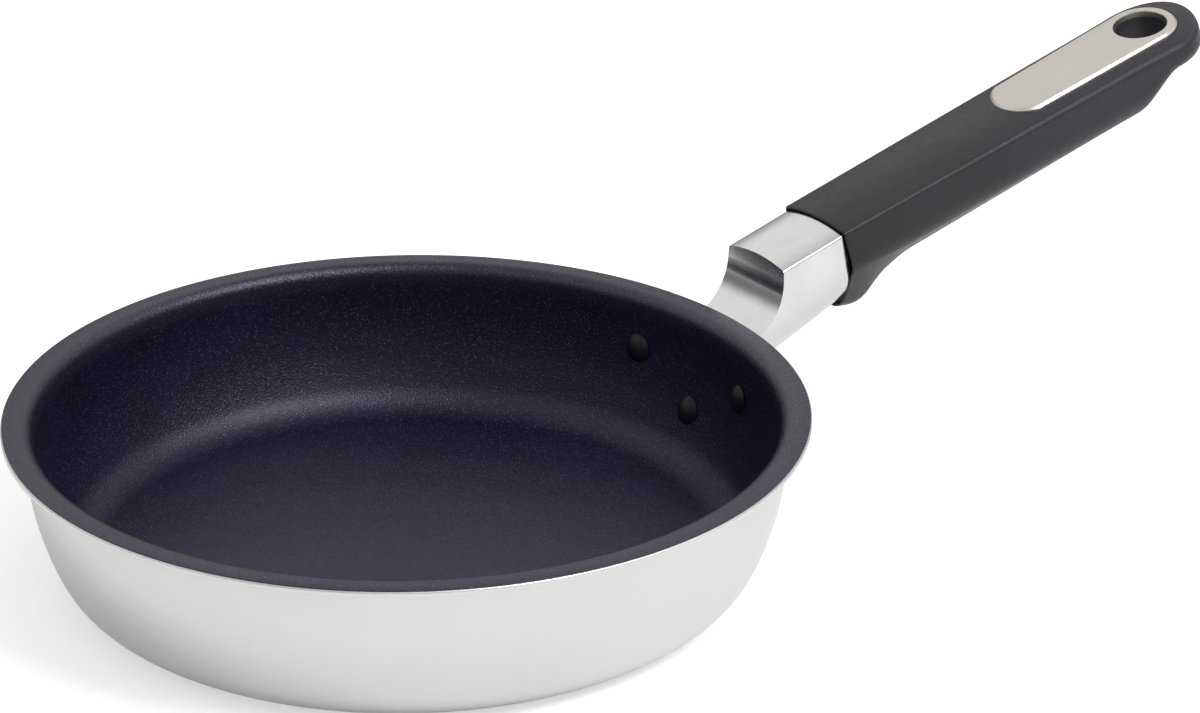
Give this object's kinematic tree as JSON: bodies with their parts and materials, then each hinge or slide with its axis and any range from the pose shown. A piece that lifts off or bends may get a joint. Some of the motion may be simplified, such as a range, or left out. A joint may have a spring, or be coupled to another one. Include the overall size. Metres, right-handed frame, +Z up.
{
  "type": "omelette pan",
  "caption": "Shallow round non-stick aluminium pan with a flared pouring lip and a riveted long handle: polished neck, black moulded grip with a metal inlay plate and a hanging hole.",
  "frame": {"origin": "centre of the flat underside of the pan, on the surface that the pan stands on", "axes": "+Z up out of the pan, +X from the pan's centre towards the handle, +Y to the left of the handle seen from above with the handle pointing away"},
  "size_m": [0.436, 0.24, 0.1108],
  "materials": {
    "satin_aluminium": "satin outside, bare machined edge on the lip",
    "nonstick_coating": "smooth dark coating with fine speckles",
    "polished_casting": "polished",
    "coated_rivets": "coated heads, satin",
    "black_grip": "matte moulded",
    "screw_steel": "plain",
    "satin_plate": "satin with a bright bevel"
  },
  "bodies": {
    "root": {"pan_body": "satin_aluminium", "nonstick_lining": "nonstick_coating", "handle_bracket": "polished_casting", "rivet_left": "coated_rivets", "rivet_right": "coated_rivets", "rivet_lower": "coated_rivets", "grip": "black_grip", "grip_screw": "screw_steel", "inlay_plate": "satin_plate"}
  },
  "joints": []
}
